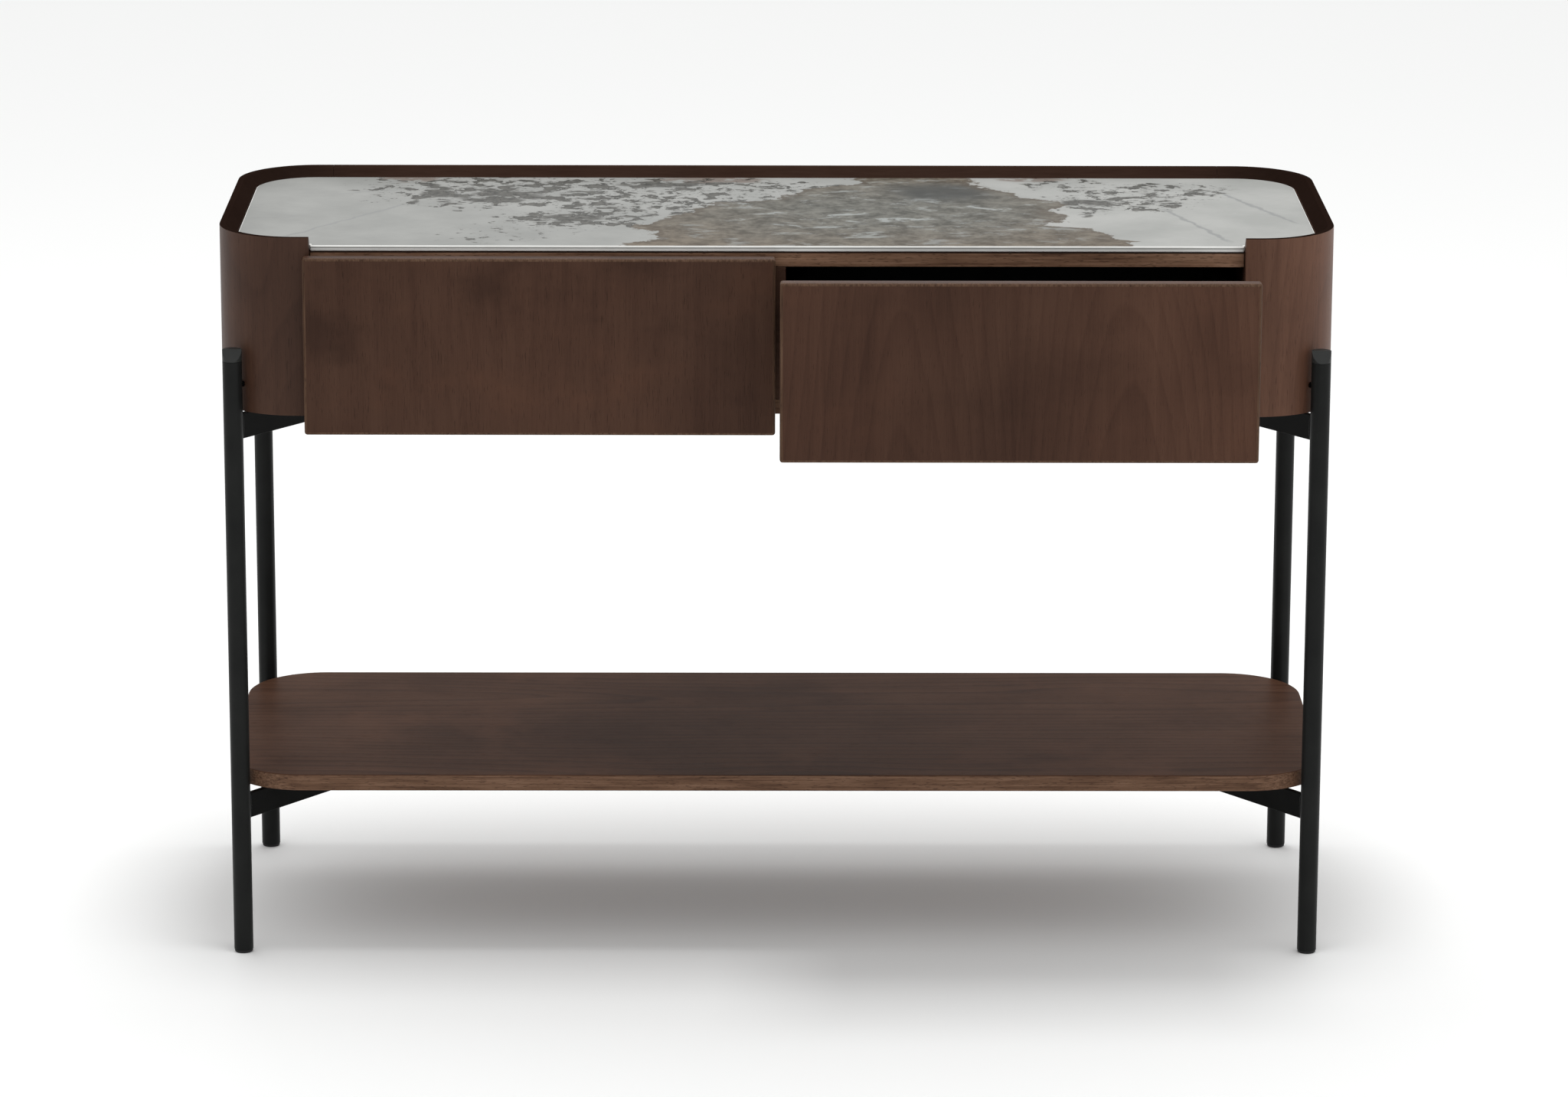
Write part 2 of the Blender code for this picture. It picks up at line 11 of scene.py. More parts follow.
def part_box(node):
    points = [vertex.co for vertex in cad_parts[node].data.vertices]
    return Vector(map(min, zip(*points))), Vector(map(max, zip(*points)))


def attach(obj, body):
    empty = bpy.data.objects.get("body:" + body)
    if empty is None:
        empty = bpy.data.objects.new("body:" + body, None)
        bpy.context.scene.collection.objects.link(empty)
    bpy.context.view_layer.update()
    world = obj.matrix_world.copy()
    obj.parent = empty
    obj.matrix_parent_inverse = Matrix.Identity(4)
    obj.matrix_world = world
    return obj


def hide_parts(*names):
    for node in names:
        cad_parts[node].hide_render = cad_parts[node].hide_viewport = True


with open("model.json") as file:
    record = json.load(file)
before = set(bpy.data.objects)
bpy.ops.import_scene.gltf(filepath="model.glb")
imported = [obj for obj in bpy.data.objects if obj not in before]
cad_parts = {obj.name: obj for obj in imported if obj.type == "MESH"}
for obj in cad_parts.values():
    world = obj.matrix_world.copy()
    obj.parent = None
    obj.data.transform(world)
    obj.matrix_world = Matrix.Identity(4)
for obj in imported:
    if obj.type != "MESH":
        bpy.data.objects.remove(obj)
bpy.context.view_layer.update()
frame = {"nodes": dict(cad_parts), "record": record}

TABLE_MIDDLE_Y = sum(corner.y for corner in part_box("shelf")) / 2
STONE_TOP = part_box("stone_top")[1].z

# ---------------------------------------------------------------- shader arithmetic
SWEEP_HALF = 0.65


class Signal:
    """One output of a shader node. Arithmetic on it adds Math nodes."""

    def __init__(self, finish, socket):
        self.finish = finish
        self.socket = socket

    def maths(self, operation, first, second=0.0):
        return self.finish.node("ShaderNodeMath", {"operation": operation}, {0: first, 1: second})

    def __add__(self, other):
        return self.maths("ADD", self, other)

    def __radd__(self, other):
        return self.maths("ADD", other, self)

    def __sub__(self, other):
        return self.maths("SUBTRACT", self, other)

    def __rsub__(self, other):
        return self.maths("SUBTRACT", other, self)

    def __mul__(self, other):
        return self.maths("MULTIPLY", self, other)

    def __rmul__(self, other):
        return self.maths("MULTIPLY", other, self)

    def ping_pong(self, scale):
        """Climbs to scale and back again, over and over."""
        return self.maths("PINGPONG", self, scale)

    def size(self):
        return self.maths("ABSOLUTE", self)

    def fraction(self):
        return self.maths("FRACT", self)

    def root(self):
        return self.maths("SQRT", self)

    def at_most(self, other):
        return self.maths("MINIMUM", self, other)

    def at_least(self, other):
        return self.maths("MAXIMUM", self, other)


class Finish:
    """A material, with its nodes made by one method."""

    def __init__(self, name, constants):
        self.material = bpy.data.materials.new(name)
        self.material.use_nodes = True
        self.tree = self.material.node_tree
        self.shader = self.tree.nodes["Principled BSDF"]
        for socket, value in constants.items():
            self.shader.inputs[socket].default_value = value
        self.point = self.node("ShaderNodeTexCoord", {}, {}, "Object")

    def feed(self, socket, value):
        if isinstance(value, Signal):
            self.tree.links.new(value.socket, socket)
        else:
            socket.default_value = value

    def node(self, kind, settings, sockets, output=0):
        made = self.tree.nodes.new(kind)
        for name, value in settings.items():
            if name == "stops":
                self.set_stops(made.color_ramp, value)
            else:
                setattr(made, name, value)
        for socket, value in sockets.items():
            self.feed(made.inputs[socket], value)
        return Signal(self, made.outputs[output])

    def set_stops(self, ramp, stops):
        while len(ramp.elements) < len(stops):
            ramp.elements.new(1.0)
        for element, (position, colour) in zip(ramp.elements, stops):
            element.position = position
            element.color = (*colour, 1.0)

    def shade(self, socket, value):
        self.feed(self.shader.inputs[socket], value)

    def axis(self, name, point=None):
        return self.node("ShaderNodeSeparateXYZ", {}, {0: point or self.point}, name)

    def joined(self, x, y, z):
        return self.node("ShaderNodeCombineXYZ", {}, {"X": x, "Y": y, "Z": z})

    def stretched(self, scale, shift=(0, 0, 0), point=None, turn=(0, 0, 0)):
        sockets = {
            "Vector": point or self.point,
            "Location": shift,
            "Rotation": turn,
            "Scale": scale,
        }
        return self.node("ShaderNodeMapping", {}, sockets)

    def noise(self, point, scale, detail, roughness=0.5, distortion=0.0):
        sockets = {
            "Vector": point,
            "Scale": scale,
            "Detail": detail,
            "Roughness": roughness,
            "Distortion": distortion,
        }
        return self.node("ShaderNodeTexNoise", {}, sockets, "Fac")

    def drawn(self, along, across_scale, along_scale, detail, roughness=0.5, point=None):
        """Noise that is drawn out along one axis."""
        scale = tuple(along_scale if axis == along else across_scale for axis in "XYZ")
        return self.noise(self.stretched(scale, point=point), 1.0, detail, roughness)

    def rise(self, signal, low, high):
        """0 below low, 1 above high, smooth in between."""
        sockets = {"Value": signal, "From Min": low, "From Max": high}
        return self.node("ShaderNodeMapRange", {"interpolation_type": "SMOOTHSTEP"}, sockets)

    def ramp(self, signal, stops):
        return self.node("ShaderNodeValToRGB", {"stops": stops}, {"Fac": signal}, "Color")

    def mix(self, share, first, second, blend="MIX"):
        settings = {"data_type": "RGBA", "blend_type": blend}
        colours = [(*c, 1.0) if isinstance(c, tuple) else c for c in (first, second)]
        return self.node("ShaderNodeMix", settings, {0: share, 6: colours[0], 7: colours[1]}, 2)

    def painted_light_sweep(self, stops):
        """Painted light and shade: a grey that changes along the table. Its stops are (x, value).
        """
        share = (self.axis("X") + SWEEP_HALF) * (0.5 / SWEEP_HALF)
        greys = [(0.5 + x * 0.5 / SWEEP_HALF, (value,) * 3) for x, value in stops]
        return self.ramp(share, greys)

    def bump(self, height, distance, strength=1.0):
        sockets = {"Height": height, "Distance": distance, "Strength": strength}
        self.shade("Normal", self.node("ShaderNodeBump", {}, sockets, "Normal"))


def shades(*colours):
    """Evenly spaced ramp stops."""
    return [(place / (len(colours) - 1), colour) for place, colour in enumerate(colours)]


def scaled(colour, by):
    return tuple(part * by for part in colour)


def strongest(signals):
    """The highest of several signals."""
    highest, *others = signals
    for other in others:
        highest = highest.at_least(other)
    return highest


# ---------------------------------------------------------------- finishes
# Lengths are in metres, and tones are linear red, green and blue.
WALNUT_LIGHT = (0.082, 0.0415, 0.0262)
WALNUT_MIDDLE = (0.061, 0.0292, 0.0182)
WALNUT_DARK = (0.040, 0.0184, 0.0114)
RINGS_PER_M = 92.0
RING_CLOSING = 0.07
LATE_WOOD = ((0.0, 0.2), (0.62, 0.45), (0.9, 1.0), (1.0, 0.2))
EVEN_SWEEP = ((-SWEEP_HALF, 1.0), (SWEEP_HALF, 1.0))

LIPPING_BROWNS = (
    (0.3, (0.056, 0.029, 0.018)),
    (0.5, (0.108, 0.059, 0.036)),
    (0.72, (0.158, 0.092, 0.059)),
)
LIPPING_PORE = (0.022, 0.011, 0.008)
SHADOW_LINE = 0.0016
SHADOW_TONE = (0.008, 0.004, 0.003)

RIM_BROWNS = ((0.020, 0.010, 0.007), (0.037, 0.020, 0.0145), (0.054, 0.031, 0.0225))
# Painted shade: the rim darkens to this tone between these distances from the table's middle.
RIM_PAINTED_SHADE = (0.0068, 0.0040, 0.0032)
RIM_PAINTED_SHADE_START = 0.43
RIM_PAINTED_SHADE_END = 0.57

LINEN_THREADS_PER_M = 1400.0
LINEN_TONES = ((0.0055, 0.0055, 0.006), (0.014, 0.0138, 0.0138))
COAT_BLACKS = ((0.3, (0.0060, 0.0064, 0.0062)), (0.7, (0.0092, 0.0096, 0.0092)))
COAT_SPECK = (0.022, 0.022, 0.021)
ZINC_GREYS = ((0.42, 0.43, 0.45), (0.56, 0.57, 0.59), (0.63, 0.64, 0.65))
NYLON_BLACKS = ((0.008, 0.008, 0.008), (0.016, 0.016, 0.017))


def walnut(
    name,
    along,
    tone,
    warmth,
    shift,
    leaf=0.27,
    gloss=0.1,
    lines=0.12,
    lean=0.03,
    blotched=0.3,
    painted_light_sweep=EVEN_SWEEP,
):
    """Crown-cut walnut veneer in book-matched leaves under a satin lacquer.

    along is the grain's axis, and leaf is the width of one leaf. lean is how far the rings
    slant, lines is how dark they are, and blotched is how strong its dark and ruddy patches are.
    """
    finish = Finish(name, {"Specular IOR Level": gloss})
    point = finish.stretched((1, 1, 1), shift)
    sway = finish.drawn(along, 3.0, 1.2, 2.0, point=point)
    ripple = finish.drawn(along, 22.0, 3.0, 2.0, point=point)
    if along == "Z":
        across = finish.axis("X", point) + finish.axis("Y", point) * 0.93
        length = finish.axis("Z", point)
    else:
        across = finish.axis("Y", point) + finish.axis("Z", point) * 0.9
        length = finish.axis("X", point) * 0.3
    matched = (across + sway * 0.05).ping_pong(leaf)
    heart = matched - leaf * 0.55
    depth = length * RING_CLOSING + sway * 0.07 + 0.03
    ring = (heart * heart + depth * depth).root() + ripple * 0.012 + length * lean
    growth = (ring * RINGS_PER_M).fraction()
    late = finish.ramp(growth, [(place, (value,) * 3) for place, value in LATE_WOOD])
    streaks = finish.drawn(along, 95.0, 2.4, 3.0, 0.6, point=point)
    fibres = finish.drawn(along, 620.0, 14.0, 2.0, 0.6, point=point)
    clouds = finish.drawn(along, 9.0, 5.0, 2.0, point=point)
    tick_noise = finish.drawn(along, 1500.0, 75.0, 1.0, point=point)
    pores = finish.rise(tick_noise, 0.62, 0.74)
    light, middle, dark = (
        (red * tone * warmth, green * tone, blue * tone)
        for red, green, blue in (WALNUT_LIGHT, WALNUT_MIDDLE, WALNUT_DARK)
    )
    figure = streaks * 0.42 + fibres * 0.2 + clouds * 0.66 - late * lines - 0.06
    body = finish.ramp(figure, [(0.22, dark), (0.5, middle), (0.78, light)])
    blotches = finish.noise(finish.stretched((7.0, 7.0, 9.0), point=point), 1.0, 4.0, 0.6)
    body = finish.mix(finish.rise(blotches, 0.50, 0.72) * blotched, body, scaled(dark, 0.8))
    ruddy = finish.rise(blotches, 0.48, 0.26) * blotched
    body = finish.mix(ruddy, body, (light[0] * 1.12, light[1] * 1.02, light[2] * 0.96))
    colour = finish.mix(pores * 0.45, body, scaled(dark, 0.45))
    # Painted light and shade along the table, multiplied into the veneer's colour.
    finish.shade("Base Color", finish.mix(1.0, colour, finish.painted_light_sweep(painted_light_sweep), "MULTIPLY"))
    finish.shade("Roughness", 0.40 + fibres * 0.12 + pores * 0.12 - late * 0.03)
    finish.bump(fibres * 0.4 - pores * 0.9 + late * 0.15, 0.00009, 0.6)
    return finish.material


def walnut_lipping(name, along, gloss=0.08, tone=1.0, shadow_below=None):
    """Solid walnut lipping of an edge: short streaks and open pores.

    Given a height, it has a shadow line just below it.
    """
    finish = Finish(name, {"Specular IOR Level": gloss})
    streaks = finish.drawn(along, 260.0, 22.0, 3.0, 0.65)
    flecks = finish.drawn(along, 900.0, 130.0, 1.5)
    drift = finish.noise(finish.point, 7.0, 2.0)
    threads = finish.drawn(along, 520.0, 9.0, 2.0, 0.6)
    pores = finish.rise(flecks, 0.58, 0.7)
    figure = streaks * 0.55 + drift * 0.3 + threads * 0.7 - 0.25
    body = finish.ramp(figure, [(place, scaled(brown, tone)) for place, brown in LIPPING_BROWNS])
    body = finish.mix(pores * 0.5, body, LIPPING_PORE)
    if shadow_below:
        start, full = shadow_below - SHADOW_LINE, shadow_below - SHADOW_LINE * 0.6
        body = finish.mix(finish.rise(finish.axis("Z"), start, full), body, SHADOW_TONE)
    finish.shade("Base Color", body)
    finish.shade("Roughness", 0.44 + streaks * 0.14)
    finish.bump(streaks * 0.5 - pores, 0.0001, 0.6)
    return finish.material


def walnut_rim_with_painted_shade(name):
    """The rim's lipping, with painted shade darkening it towards the table's two ends."""
    finish = Finish(name, {"Specular IOR Level": 0.0})
    x = finish.axis("X")
    streaks = finish.noise(finish.stretched((30.0, 260.0, 260.0)), 1.0, 3.0, 0.6)
    tone = finish.noise(finish.point, 12.0, 2.0)
    # Painted shade towards the table's two ends.
    painted_shade_at_ends = finish.rise(x.size(), RIM_PAINTED_SHADE_START, RIM_PAINTED_SHADE_END)
    body = finish.ramp(streaks * 0.6 + tone * 0.4, shades(*RIM_BROWNS))
    finish.shade("Base Color", finish.mix(painted_shade_at_ends * 0.72, body, RIM_PAINTED_SHADE))
    finish.shade("Roughness", 0.48 + streaks * 0.14)
    finish.bump(streaks, 0.00008, 0.5)
    return finish.material


# Places on the stone are along and across the table, from its middle.
# The cloud's two edges are lists of (across, along).
CLOUD_LEFT_EDGE = (
    (-0.20, -0.165),
    (-0.17, -0.14),
    (-0.12, -0.136),
    (-0.085, -0.158),
    (-0.03, -0.11),
    (0.04, -0.07),
    (0.06, -0.005),
    (0.12, 0.034),
    (0.145, 0.08),
    (0.20, 0.09),
)
CLOUD_RIGHT_EDGE = (
    (-0.20, 0.385),
    (-0.145, 0.37),
    (-0.095, 0.33),
    (-0.083, 0.28),
    (-0.04, 0.312),
    (-0.005, 0.30),
    (0.03, 0.325),
    (0.09, 0.27),
    (0.12, 0.242),
    (0.20, 0.20),
)
EDGE_SPAN = 0.4

# Each speckle patch is (along, across, half length, half width, strength).
LEFT_SPECKLE = (
    (-0.28, 0.11, 0.17, 0.10, 1.0),
    (-0.14, 0.06, 0.14, 0.10, 0.9),
    (-0.22, -0.05, 0.085, 0.055, 1.0),
    (-0.05, 0.13, 0.13, 0.05, 0.8),
    (-0.30, -0.13, 0.08, 0.05, 0.42),
)
RIGHT_SPECKLE = (
    (0.37, 0.045, 0.085, 0.055, 1.0),
    (0.42, 0.11, 0.09, 0.055, 0.8),
    (0.325, 0.15, 0.06, 0.04, 0.6),
)
# Each large blot or rusty patch is (along, across, half length, half width, softness).
LARGE_BLOTS = (
    (-0.305, 0.075, 0.045, 0.03, 0.5),
    (-0.375, 0.09, 0.022, 0.018, 0.5),
    (-0.225, -0.045, 0.035, 0.02, 0.5),
    (-0.13, 0.15, 0.05, 0.016, 0.5),
    (0.345, 0.045, 0.03, 0.018, 0.5),
    (0.338, -0.028, 0.009, 0.011, 0.4),
)
RUSTY_PATCHES = (
    (-0.41, 0.18, 0.03, 0.02, 0.6),
    (-0.07, 0.175, 0.06, 0.02, 0.6),
    (0.285, 0.18, 0.04, 0.012, 0.6),
)
CLOUD_CORE = (0.12, 0.0, 0.22, 0.16, 1.6)
CLOUD_DARK_SPOT = (0.185, 0.105, 0.055, 0.05, 1.2)
# Each vein is (along, across, heading in degrees, half length, width, strength).
VEINS = (
    (0.53, 0.02, -68, 0.11, 0.004, 1.0),
    (0.455, -0.08, -72, 0.11, 0.004, 1.0),
    (-0.47, -0.06, 57, 0.13, 0.0035, 0.8),
    (-0.44, 0.11, 20, 0.06, 0.003, 0.6),
)
# Painted light: the stone's ground paler towards the right, darker to the left.
GROUND_PAINTED_LIGHT = ((-0.6, 0.80), (-0.2, 0.84), (0.5, 1.0))
GROUND_TONES = (
    (0.36, (0.325, 0.331, 0.317)),
    (0.5, (0.362, 0.367, 0.352)),
    (0.64, (0.398, 0.402, 0.386)),
)
VEIN_TONE = (0.235, 0.242, 0.240)
HALO_TONE = (0.24, 0.24, 0.225)
RUST_TONE = (0.155, 0.115, 0.095)
CHARCOAL_TONES = ((0.35, (0.036, 0.036, 0.032)), (0.65, (0.120, 0.117, 0.105)))
OUTLINE_TONE = (0.018, 0.018, 0.016)
TAUPE_TONES = ((0.41, (0.094, 0.075, 0.055)), (0.59, (0.180, 0.150, 0.114)))
GREY_TONES = ((0.41, (0.062, 0.065, 0.058)), (0.59, (0.168, 0.173, 0.157)))
WISP_TONE = (0.315, 0.330, 0.320)
DARK_SPOT_TONE = (0.045, 0.048, 0.047)
CLOUD_RIM_TONE = (0.088, 0.070, 0.053)
# The slab's edge has its seam between these depths under the top, fading in and out.
SEAM_STARTS = (0.0014, 0.0019)
SEAM_ENDS = (0.0026, 0.0031)
# The edge's own pale tone, made paler still as a painted highlight along the slab's edge.
EDGE_PALE_AND_HIGHLIGHT_TONES = ((0.3, (0.84, 0.84, 0.81)), (0.7, (0.93, 0.93, 0.90)))
SEAM_TONE = (0.26, 0.26, 0.245)


def sintered_stone(name):
    """Light grey stone with a taupe cloud, charcoal speckle on its two sides and a few veins."""
    finish = Finish(name, {"Specular IOR Level": 0.02})
    x = finish.axis("X")
    y = finish.axis("Y") - TABLE_MIDDLE_Y
    flat = finish.joined(x, y, 0.0)
    broad = finish.noise(flat, 9.0, 4.0, 0.55)
    ragged = finish.noise(flat, 34.0, 5.0, 0.62)
    fine = finish.noise(flat, 120.0, 3.0, 0.6)

    def edge_line(points):
        """Where an edge of the cloud lies along the table, at each place across it."""
        stops = []
        for across, along in points:
            value = (along + EDGE_SPAN / 2) / (2 * EDGE_SPAN)
            stops.append(((across + EDGE_SPAN / 2) / EDGE_SPAN, (value,) * 3))
        share = (y + EDGE_SPAN / 2 + (fine - 0.5) * 0.01) * (1 / EDGE_SPAN)
        return finish.ramp(share, stops) * (2 * EDGE_SPAN) - EDGE_SPAN / 2

    fray = (ragged - 0.5) * 0.085 + (broad - 0.5) * 0.05 + (fine - 0.5) * 0.02
    from_left = x - edge_line(CLOUD_LEFT_EDGE) + fray
    from_right = edge_line(CLOUD_RIGHT_EDGE) - x + fray
    inside = from_left.at_most(from_right)
    cloud = finish.rise(inside, -0.002, 0.003)

    def patch(along, across, length, width, softness=1.0):
        """1 in the middle of an ellipse, falling to 0 outside it."""
        u = (x - along) * (1 / length)
        v = (y - across) * (1 / width)
        reach = (u * u + v * v).root() + (broad - 0.5) * 0.8
        return 1.0 - finish.rise(reach, 1.0 - softness * 0.5, 1.0 + softness * 0.5)

    # charcoal speckle
    fields = [patch(*place) * strength for *place, strength in LEFT_SPECKLE + RIGHT_SPECKLE]
    speckled = strongest(fields)
    grain_point = finish.stretched((1.0, 1.15, 1.0), point=flat, turn=(0, 0, 0.35))
    grains = finish.noise(grain_point, 44.0, 5.0, 0.62, 0.3)
    gathered = grains + speckled * 0.17
    speckle = finish.rise(gathered, 0.665, 0.69) * finish.rise(speckled, 0.1, 0.3)
    outline = speckle * (1.0 - finish.rise(gathered, 0.69, 0.705))
    small = finish.noise(finish.stretched((1.0, 1.4, 1.0), point=flat), 105.0, 3.0, 0.6)
    flecks = finish.rise(small + speckled * 0.09, 0.68, 0.71) * finish.rise(speckled, 0.12, 0.4)
    halo = finish.rise(gathered, 0.585, 0.68) * finish.rise(speckled, 0.05, 0.4)
    large = strongest([patch(*blot) for blot in LARGE_BLOTS]) * finish.rise(ragged, 0.38, 0.5)
    rusty = strongest([patch(*place) for place in RUSTY_PATCHES]) * finish.rise(ragged, 0.40, 0.5)

    def vein(along, across, heading, half_length, width):
        """A thin line through a point, fading towards its ends."""
        angle = math.radians(heading)
        u = (x - along) * math.cos(angle) + (y - across) * math.sin(angle)
        v = (y - across) * math.cos(angle) - (x - along) * math.sin(angle)
        v = v + (ragged - 0.5) * 0.02
        thin = 1.0 - finish.rise(v.size(), width * 0.3, width)
        return thin * (1.0 - finish.rise(u.size(), half_length * 0.7, half_length))

    veins = strongest([vein(*line) * strength for *line, strength in VEINS])

    # the pale ground
    ground = finish.ramp(broad, GROUND_TONES)
    # Painted light along the table, multiplied into the ground.
    ground = finish.mix(1.0, ground, finish.painted_light_sweep(GROUND_PAINTED_LIGHT), "MULTIPLY")
    ground = finish.mix(veins * 0.75, ground, VEIN_TONE)
    ground = finish.mix(halo * 0.5, ground, HALO_TONE)
    ground = finish.mix(rusty * 0.7, ground, RUST_TONE)
    charcoal = finish.ramp(fine, CHARCOAL_TONES)
    ground = finish.mix(strongest([speckle, large, flecks]) * 0.9, ground, charcoal)
    ground = finish.mix(outline * 0.85, ground, OUTLINE_TONE)

    # the cloud: taupe round its rim, greyer inside, with pale wisps and one dark spot
    wisp_point = finish.stretched((1.0, 2.1, 1.0), point=flat, turn=(0, 0, 0.5))
    wisps = finish.rise(finish.noise(wisp_point, 17.0, 6.0, 0.72, 0.5), 0.535, 0.635)
    mottle = ragged * 0.6 + fine * 0.4
    taupe = finish.ramp(mottle, TAUPE_TONES)
    grey = finish.ramp(mottle, GREY_TONES)
    core = patch(*CLOUD_CORE)
    inner = finish.mix(core * 0.8, taupe, grey)
    inner = finish.mix(wisps * (core * 0.7 + 0.25), inner, WISP_TONE)
    inner = finish.mix(patch(*CLOUD_DARK_SPOT) * 0.8, inner, DARK_SPOT_TONE)
    rim_band = 1.0 - finish.rise(inside, 0.004, 0.022)
    inner = finish.mix(rim_band * 0.5, inner, CLOUD_RIM_TONE)
    finish.shade("Base Color", finish.mix(cloud, ground, inner))
    finish.shade("Roughness", 0.30 + (fine - 0.5) * 0.10 + cloud * 0.05)
    finish.bump(fine * 0.5 + ragged * 0.3, 0.00006, 0.35)
    return finish.material


def stone_edge(name):
    """The slab's ground and polished edge, paler than its printed face and paler still as a
    painted highlight, with one grey seam.
    """
    finish = Finish(name, {"Specular IOR Level": 0.2})
    down = STONE_TOP - finish.axis("Z")
    tone = finish.noise(finish.point, 40.0, 3.0)
    grit = finish.noise(finish.point, 900.0, 1.0)
    pale = finish.ramp(tone, EDGE_PALE_AND_HIGHLIGHT_TONES)
    seam = finish.rise(down, *SEAM_STARTS) * (1.0 - finish.rise(down, *SEAM_ENDS))
    finish.shade("Base Color", finish.mix(seam * 0.85, pale, SEAM_TONE))
    finish.shade("Roughness", 0.28 + grit * 0.12)
    finish.bump(grit, 0.00004, 0.3)
    return finish.material


def powder_coat(name, tone, gloss=0.1):
    """Satin black powder coat with its fine orange peel."""
    finish = Finish(name, {"Specular IOR Level": gloss})
    peel = finish.noise(finish.point, 1500.0, 2.0, 0.5)
    settled = finish.noise(finish.point, 28.0, 3.0)
    speck = finish.rise(finish.noise(finish.point, 700.0, 1.0), 0.66, 0.76)
    coat = finish.ramp(settled, [(place, scaled(black, tone)) for place, black in COAT_BLACKS])
    finish.shade("Base Color", finish.mix(speck * 0.3, coat, COAT_SPECK))
    finish.shade("Roughness", 0.40 + (settled - 0.5) * 0.14 + (peel - 0.5) * 0.1)
    finish.bump(peel, 0.00012, 0.5)
    return finish.material


def charcoal_board(name, along):
    """Charcoal melamine-faced board with a pressed linen texture, for the drawer boxes."""
    finish = Finish(name, {"Specular IOR Level": 0.25})
    u = finish.axis(along) * LINEN_THREADS_PER_M
    across = finish.axis("X") + finish.axis("Y") + finish.axis("Z") - finish.axis(along)
    v = across * LINEN_THREADS_PER_M
    warp = u.ping_pong(0.5)
    weft = v.ping_pong(0.5)
    slub = finish.drawn(along, 900.0, 60.0, 2.0)
    weave = warp * 0.6 + weft * 0.6 + slub * 0.8
    tone = finish.noise(finish.point, 14.0, 3.0)
    finish.shade("Base Color", finish.ramp(weave * 0.5 + tone * 0.3, shades(*LINEN_TONES)))
    finish.shade("Roughness", 0.5 + slub * 0.15)
    finish.bump(weave, 0.00006, 0.5)
    return finish.material


def zinc_plate(name, tone=1.0):
    """Zinc-plated steel, drawn along the slide. A low tone makes it black zinc."""
    finish = Finish(name, {"Metallic": 1.0})
    drawn = finish.drawn("Y", 900.0, 9.0, 2.0)
    bloom = finish.noise(finish.point, 60.0, 3.0, 0.6)
    greys = shades(*(scaled(grey, tone) for grey in ZINC_GREYS))
    finish.shade("Base Color", finish.ramp(bloom, greys))
    finish.shade("Roughness", 0.26 + drawn * 0.16 + bloom * 0.1)
    finish.bump(drawn, 0.00005, 0.4)
    return finish.material


def nylon(name):
    """Black moulded nylon with a spark-eroded texture."""
    finish = Finish(name, {"Specular IOR Level": 0.35})
    grain = finish.noise(finish.point, 2200.0, 2.0)
    tone = finish.noise(finish.point, 90.0, 2.0)
    finish.shade("Base Color", finish.ramp(tone, shades(*NYLON_BLACKS)))
    finish.shade("Roughness", 0.52 + grain * 0.2)
    finish.bump(grain, 0.00015, 0.5)
    return finish.material


# Painted light and shade: greys along the table multiplied into each veneer's colour; the shell
# paler to the right, the shelf darker in its middle.
LEFT_FRONT_PAINTED_LIGHT = ((-0.5, 0.82), (-0.25, 1.0), (-0.05, 0.84))
RIGHT_FRONT_PAINTED_LIGHT = ((0.02, 0.82), (0.22, 0.62), (0.48, 1.0))
SHELL_PAINTED_LIGHT = ((-0.6, 0.55), (-0.54, 0.44), (0.0, 0.5), (0.52, 0.9), (0.6, 1.0))
SHELF_PAINTED_SHADE = ((-0.5, 1.0), (-0.05, 0.74), (0.5, 1.0))
LEFT_FRONT = walnut(
    "walnut_left_front",
    "Z",
    tone=1.04,
    warmth=1.02,
    shift=(0.31, 0.1, 0.6),
    leaf=0.36,
    lines=0.07,
    blotched=0.6,
    painted_light_sweep=LEFT_FRONT_PAINTED_LIGHT,
)
RIGHT_FRONT = walnut(
    "walnut_right_front",
    "Z",
    tone=1.30,
    warmth=1.03,
    shift=(-0.02, 0.3, -0.62),
    lines=0.15,
    painted_light_sweep=RIGHT_FRONT_PAINTED_LIGHT,
)
SHELL_VENEER = walnut(
    "walnut_shell",
    "Z",
    tone=2.06,
    warmth=1.02,
    shift=(0.0, 0.5, 0.2),
    leaf=0.22,
    gloss=0.15,
    painted_light_sweep=SHELL_PAINTED_LIGHT,
)
BOARD_VENEER = walnut("walnut_board", "X", tone=1.0, warmth=1.0, shift=(0.4, 0.02, 0.1))
SHELF_VENEER = walnut(
    "walnut_shelf",
    "X",
    tone=1.62,
    warmth=0.97,
    shift=(0.7, 0.11, 0.3),
    leaf=0.3,
    gloss=0.02,
    lines=0.34,
    lean=0.01,
    blotched=0.45,
    painted_light_sweep=SHELF_PAINTED_SHADE,
)
LIPPING = walnut_lipping("walnut_lipping", "X", tone=1.25)
# Painted light: the rail's lipping made much paler, standing in for the light on its front.
RAIL_PAINTED_LIGHT = walnut_lipping("walnut_rail_painted_light", "X", tone=2.05, shadow_below=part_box("top_board")[1].z)
# Painted highlight: a lighter lipping on the drawer fronts' rounded edges.
FRONT_EDGE_HIGHLIGHT = walnut_lipping("walnut_front_edge_painted_highlight", "Z", tone=0.8)
STONE = sintered_stone("sintered_stone")
STONE_EDGE = stone_edge("stone_edge")
COATED_STEEL = powder_coat("satin_black_powder_coat", tone=1.45)
# Painted shade: a darker copy of the same coat for the braces.
BRACE_STEEL_PAINTED_SHADE = powder_coat("satin_black_braces_painted_shade", tone=0.75, gloss=0.06)
